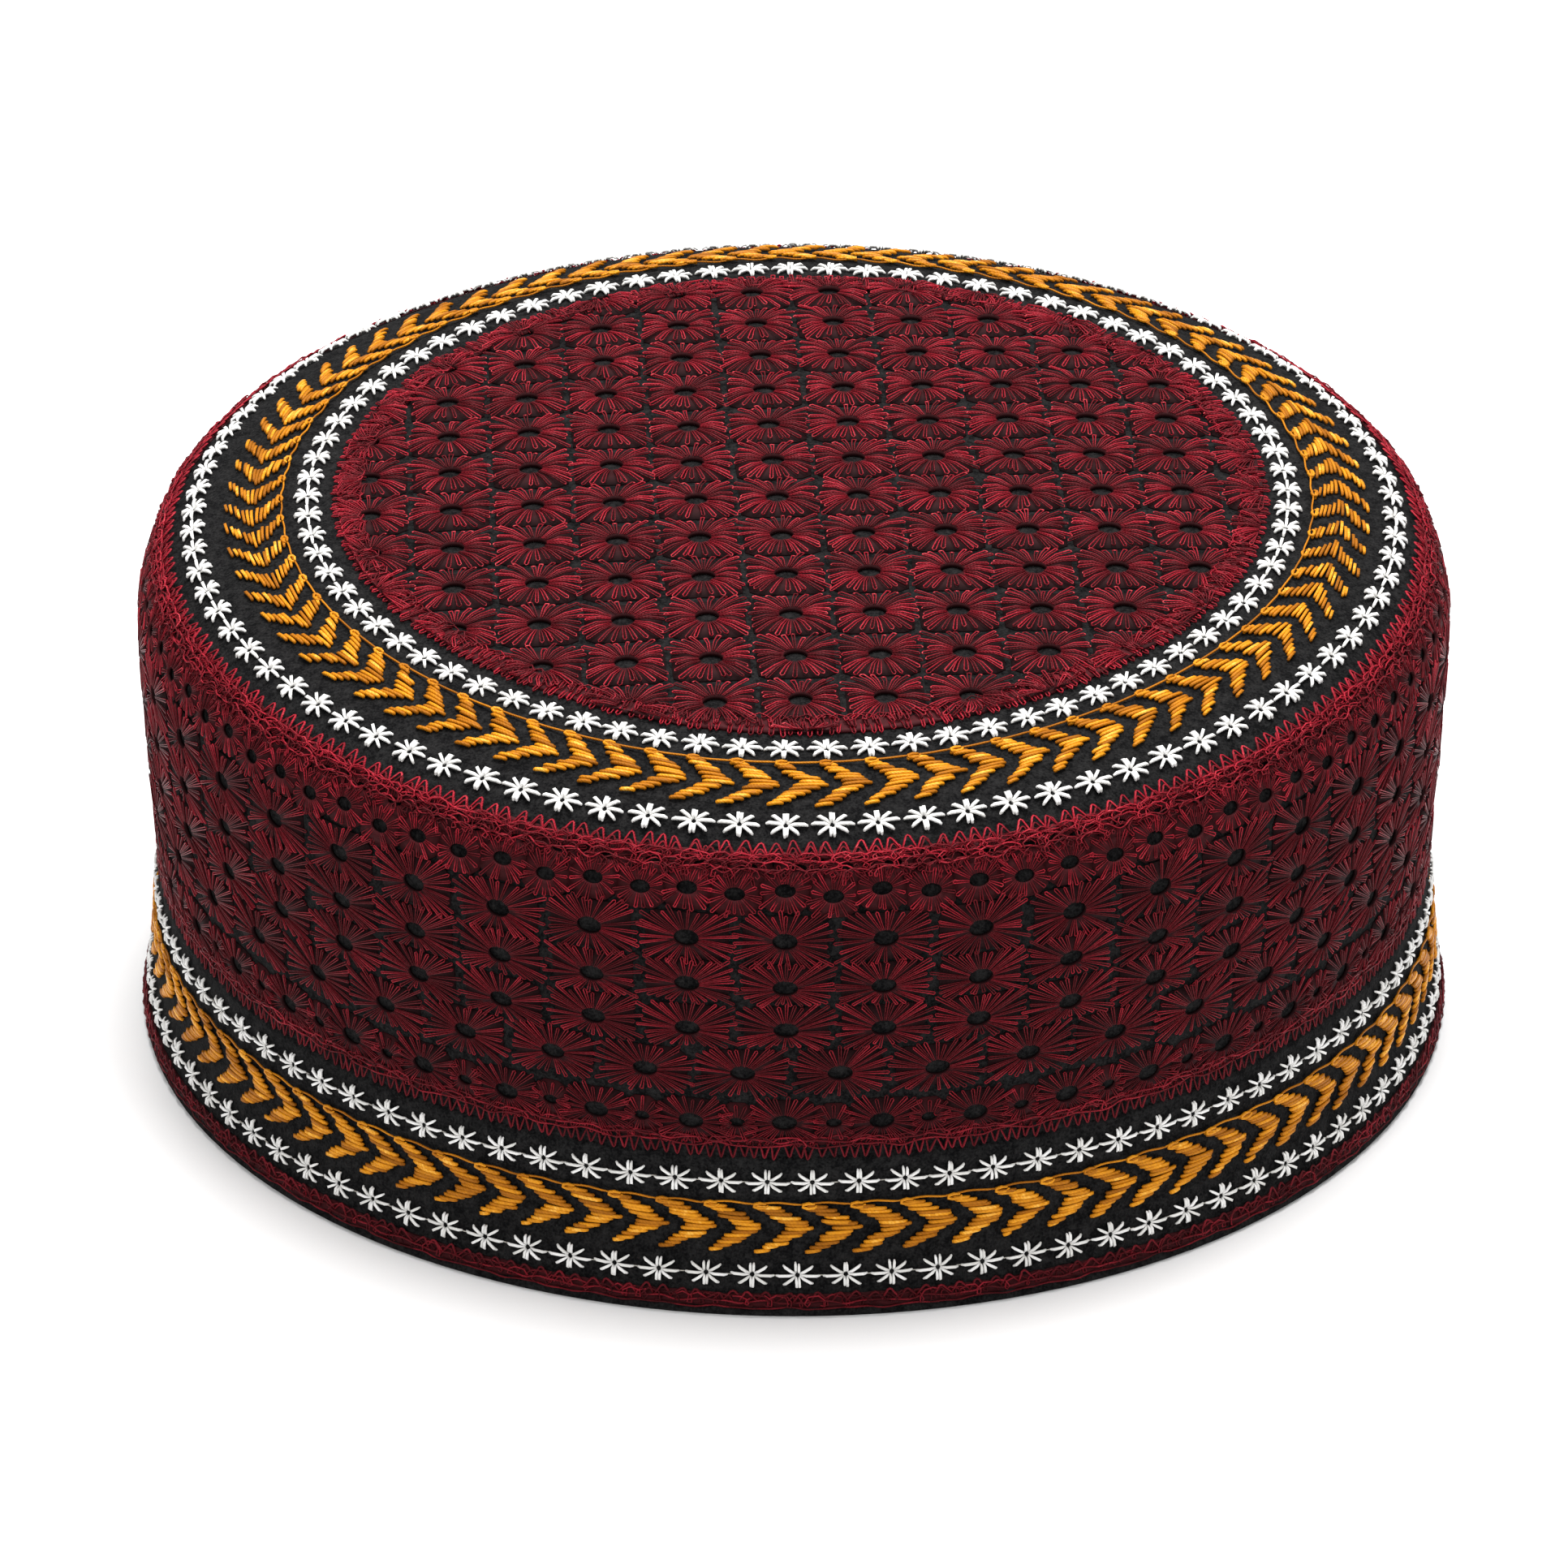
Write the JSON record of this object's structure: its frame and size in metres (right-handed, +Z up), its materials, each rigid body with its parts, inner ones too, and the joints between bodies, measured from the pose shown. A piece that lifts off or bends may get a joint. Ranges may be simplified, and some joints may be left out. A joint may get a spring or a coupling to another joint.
{
  "type": "prayer cap",
  "caption": "Round flat-crowned prayer cap of black cloth with raised maroon embroidery, gold chevron rings and a flared lower band.",
  "frame": {"origin": "middle of the rim, on the surface that the cap rests on", "axes": "+Z up towards the crown, -Y towards the front of the cap, +X to the wearer's left"},
  "size_m": [0.1956, 0.1956, 0.0857],
  "materials": {
    "black_cloth": "matte",
    "maroon_thread": "satin",
    "gold_thread": "satin",
    "white_thread": "satin"
  },
  "bodies": {
    "root": {"crown_panel": "black_cloth", "side_wall": "black_cloth", "lower_band": "black_cloth", "crown_field": "maroon_thread", "side_field": "maroon_thread", "rim_edging": "maroon_thread", "crown_chevrons": "gold_thread", "band_chevrons": "gold_thread"}
  },
  "joints": []
}
